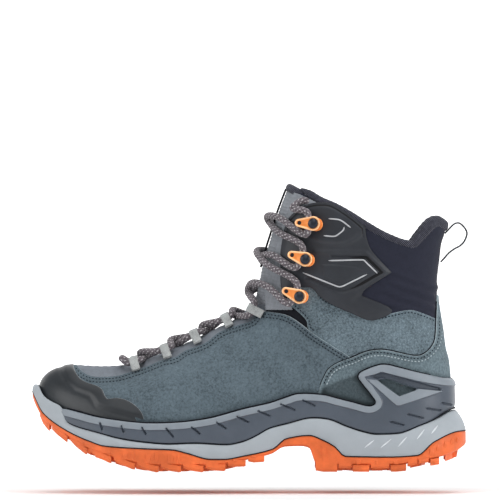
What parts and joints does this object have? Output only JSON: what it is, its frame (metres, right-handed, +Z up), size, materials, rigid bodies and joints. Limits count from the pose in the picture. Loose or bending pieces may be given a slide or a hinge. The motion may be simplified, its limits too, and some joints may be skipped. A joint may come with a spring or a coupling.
{
  "type": "hiking boot",
  "caption": "Mid-cut lace-up hiking boot for the left foot: suede upper, padded collar, tongue, hooks and webbing loops, stabiliser frame, foam midsole and lugged rubber outsole.",
  "frame": {"origin": "on the ground plane, under the centre of the bounding box", "axes": "+X along the boot towards the heel, toe towards -X; +Y towards the inner side of the foot; +Z up towards the opening"},
  "size_m": [0.3045, 0.1081, 0.2001],
  "materials": {
    "suede": "slate blue-grey suede, fine nap",
    "toe_rubber": "matt charcoal moulded toe cap",
    "moulded_film": "charcoal moulded overlay",
    "collar_textile": "dark navy stretch textile",
    "knit": "dark ribbed knit",
    "foam": "open-cell padding foam",
    "lining": "dark mesh lining",
    "tongue_textile": "mid-grey textile",
    "loop_webbing": "light grey webbing",
    "strap_webbing": "dark webbing",
    "frame_plastic": "slate grey moulded plastic with a lighter bevel",
    "midsole_foam": "light grey moulded foam",
    "orange_rubber": "orange tread rubber",
    "stiffener_plastic": "thermoplastic sheet",
    "board": "pressed fibre board",
    "footbed_foam": "textile-covered foam",
    "hook_paint": "orange painted metal",
    "rivet_steel": "dark plated steel",
    "lace_cord": "braided cord with light flecks",
    "aglet_plastic": "shrunk plastic tube"
  },
  "bodies": {
    "boot": {"outsole": "orange_rubber", "midsole": "midsole_foam", "stabiliser_frame": "frame_plastic", "shank": "stiffener_plastic", "toe_puff": "stiffener_plastic", "heel_counter": "stiffener_plastic", "insole_board": "board", "toe_cap": "toe_rubber", "heel_panel": "suede", "quarter_outer": "suede", "quarter_inner": "suede", "ankle_panel_outer": "suede", "ankle_panel_inner": "suede", "collar_overlay_outer": "moulded_film", "collar_overlay_inner": "moulded_film", "collar_shell": "collar_textile", "collar_binding": "knit", "collar_padding": "foam", "lining": "lining", "throat_gusset": "tongue_textile", "lace_hook_outer_1": "hook_paint", "lace_hook_rivet_outer_1": "rivet_steel", "lace_hook_outer_2": "hook_paint", "lace_hook_rivet_outer_2": "rivet_steel", "lace_hook_outer_3": "hook_paint", "lace_hook_rivet_outer_3": "rivet_steel", "lace_loop_outer_1": "loop_webbing", "lace_loop_outer_2": "loop_webbing", "lace_loop_outer_3": "loop_webbing", "lace_loop_outer_4": "loop_webbing", "lace_loop_outer_5": "loop_webbing", "lace_aglet_outer": "aglet_plastic", "lace_hook_inner_1": "hook_paint", "lace_hook_rivet_inner_1": "rivet_steel", "lace_hook_inner_2": "hook_paint", "lace_hook_rivet_inner_2": "rivet_steel", "lace_hook_inner_3": "hook_paint", "lace_hook_rivet_inner_3": "rivet_steel", "lace_loop_inner_1": "loop_webbing", "lace_loop_inner_2": "loop_webbing", "lace_loop_inner_3": "loop_webbing", "lace_loop_inner_4": "loop_webbing", "lace_loop_inner_5": "loop_webbing", "lace_aglet_inner": "aglet_plastic", "lace": "lace_cord"},
    "tongue": {"tongue": "tongue_textile", "tongue_padding": "foam"},
    "pull_loop": {"pull_loop": "strap_webbing"},
    "footbed": {"footbed": "footbed_foam"}
  },
  "joints": [
    {"name": "tongue_tilt", "type": "hinge", "parent": "boot", "child": "tongue", "pos_m": [0.006, -0.002, 0.115], "axis": [0, 1, 0], "range_deg": [0, 7]},
    {"name": "pull_loop_swing", "type": "hinge", "parent": "boot", "child": "pull_loop", "pos_m": [0.13877, -0.002, 0.16], "axis": [0.1871, 0, 0.9823], "range_deg": [-40, 40]},
    {"name": "footbed_lift", "type": "hinge", "parent": "boot", "child": "footbed", "pos_m": [-0.126, -0.002, 0.041], "axis": [0, -1, 0], "range_deg": [0, 6]}
  ]
}
